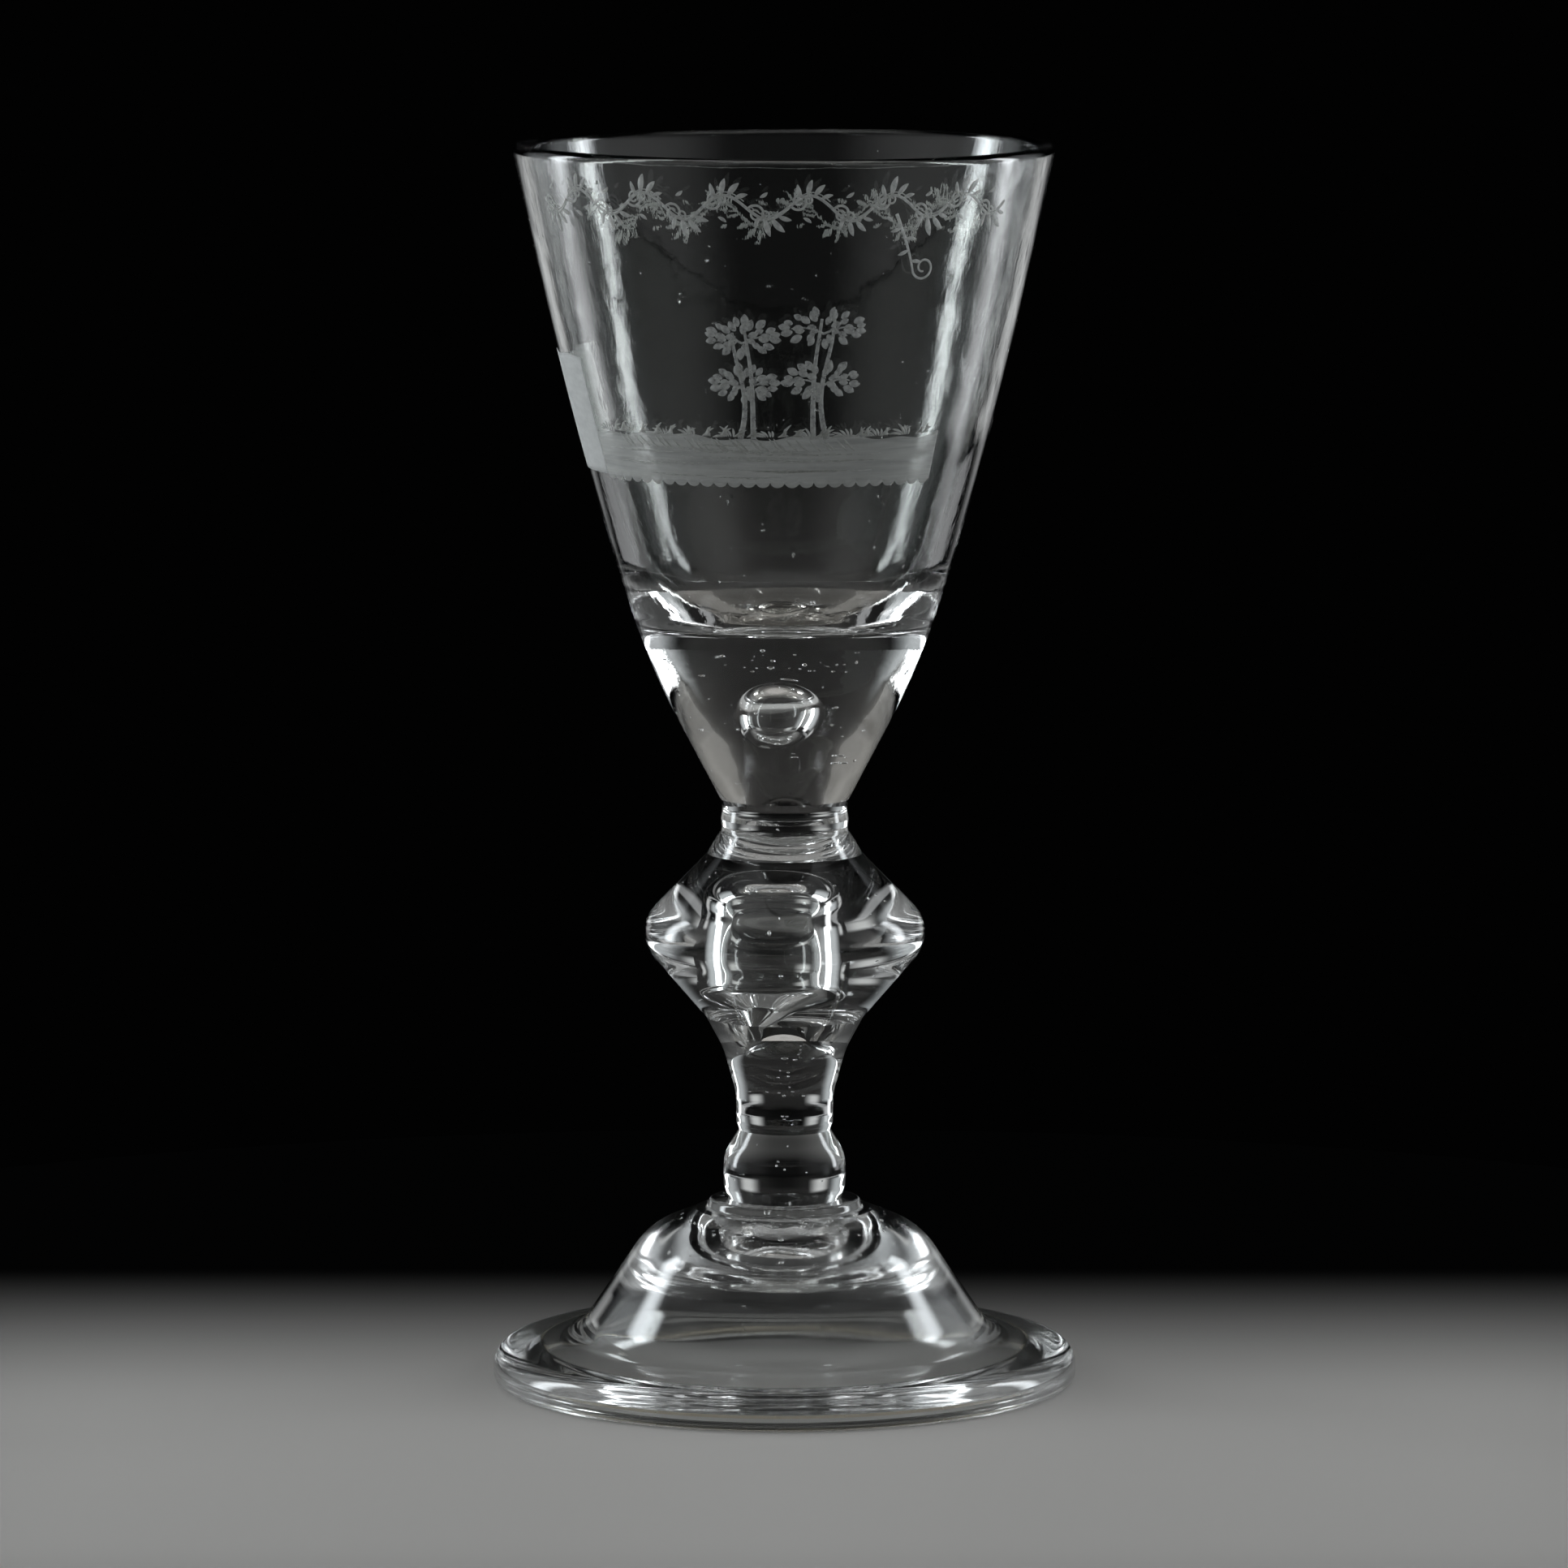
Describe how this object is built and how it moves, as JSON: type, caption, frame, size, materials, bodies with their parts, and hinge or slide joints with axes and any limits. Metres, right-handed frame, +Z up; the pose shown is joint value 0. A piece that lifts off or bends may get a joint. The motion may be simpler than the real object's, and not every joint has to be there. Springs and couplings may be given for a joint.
{
  "type": "baluster wine glass",
  "caption": "Stemmed wine glass in clear lead glass: funnel bowl on a solid base, double-cone knop with an air tear, short baluster stem and a domed foot with a folded rim.",
  "frame": {"origin": "on the glass's axis, in the plane that the foot stands on", "axes": "+Z up the axis to the rim; the glass is round, so +X and +Y are free, and -Y is the side the picture shows"},
  "size_m": [0.0822, 0.0822, 0.175],
  "materials": {
    "clear_glass": "clear lead glass, fire polished, with faint tool marks and seed bubbles",
    "broken_glass": "rough broken glass scar",
    "engraved_glass": "matt wheel-engraved glass"
  },
  "bodies": {
    "root": {"foot_fold": "clear_glass", "foot": "clear_glass", "pontil_mark": "broken_glass", "foot_collar": "clear_glass", "basal_knop": "clear_glass", "stem": "clear_glass", "knop": "clear_glass", "neck": "clear_glass", "upper_collar": "clear_glass", "bowl_base": "clear_glass", "bowl": "clear_glass"}
  },
  "joints": []
}
